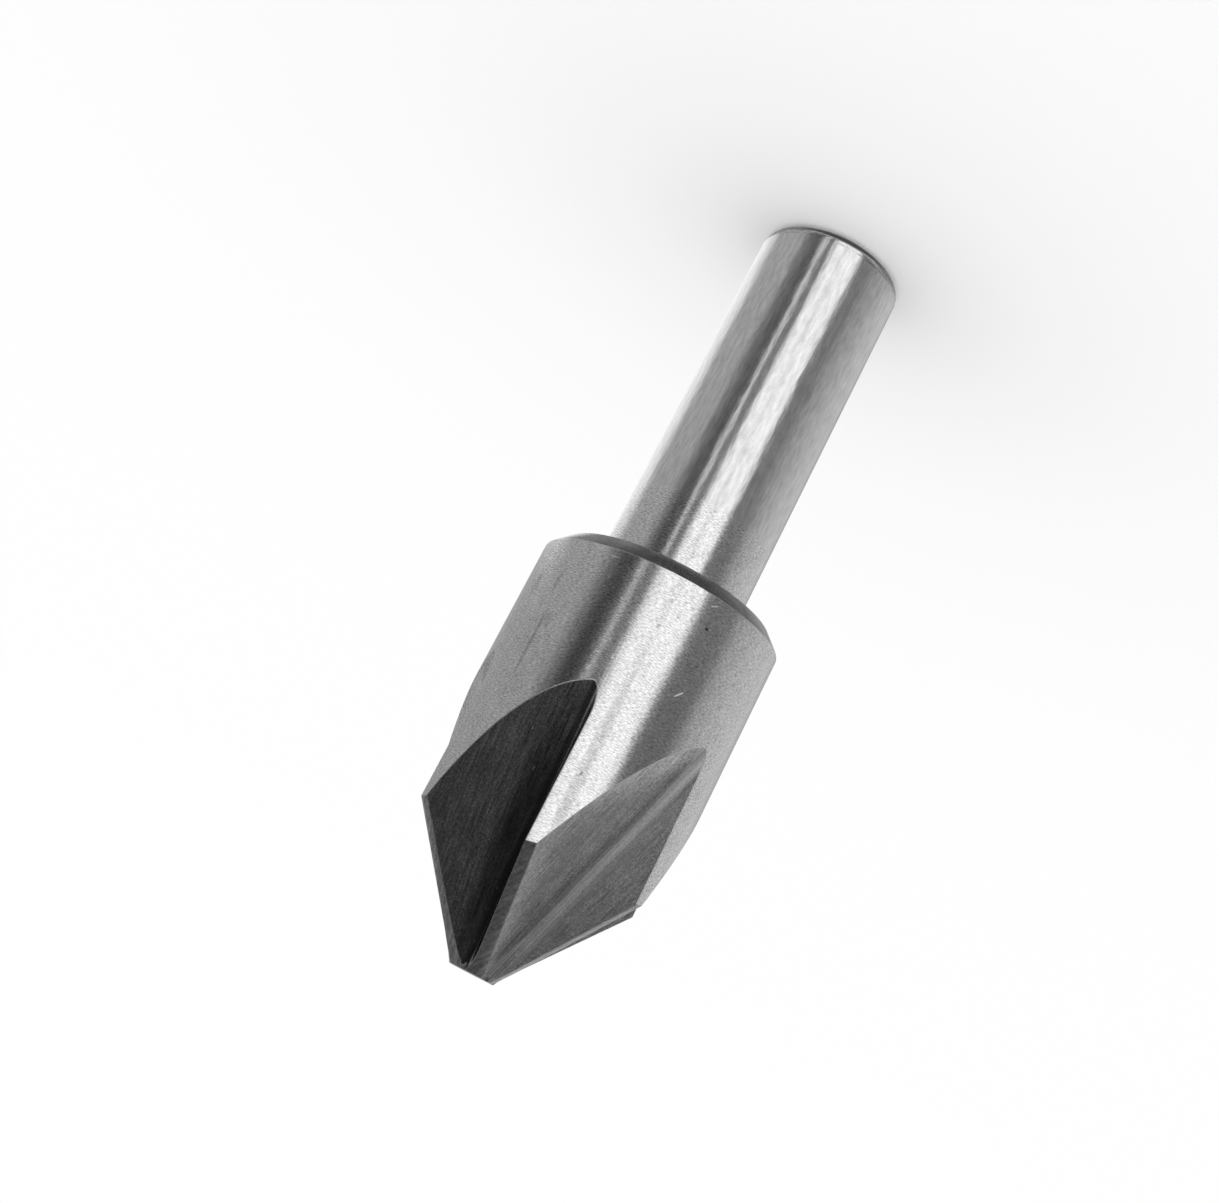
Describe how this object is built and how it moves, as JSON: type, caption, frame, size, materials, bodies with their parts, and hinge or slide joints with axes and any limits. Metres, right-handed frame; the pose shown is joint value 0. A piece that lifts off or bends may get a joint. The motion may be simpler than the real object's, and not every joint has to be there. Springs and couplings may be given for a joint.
{
  "type": "countersink bit",
  "caption": "Countersink bit with a plain round shank, a larger cylindrical head and a blunt cone of straight-ground teeth with a flute in front of each.",
  "frame": {"origin": "centre of the flat end face of the shank", "axes": "+Z along the bit's axis from the shank to the nose; +X through one cutting edge; +Y completes a right-handed frame"},
  "size_m": [0.0158, 0.0158, 0.0508],
  "materials": {
    "ground_steel": "ground tool steel, satin, neutral grey, with fine grinding lines"
  },
  "bodies": {
    "root": {"countersink_bit": "ground_steel"}
  },
  "joints": []
}
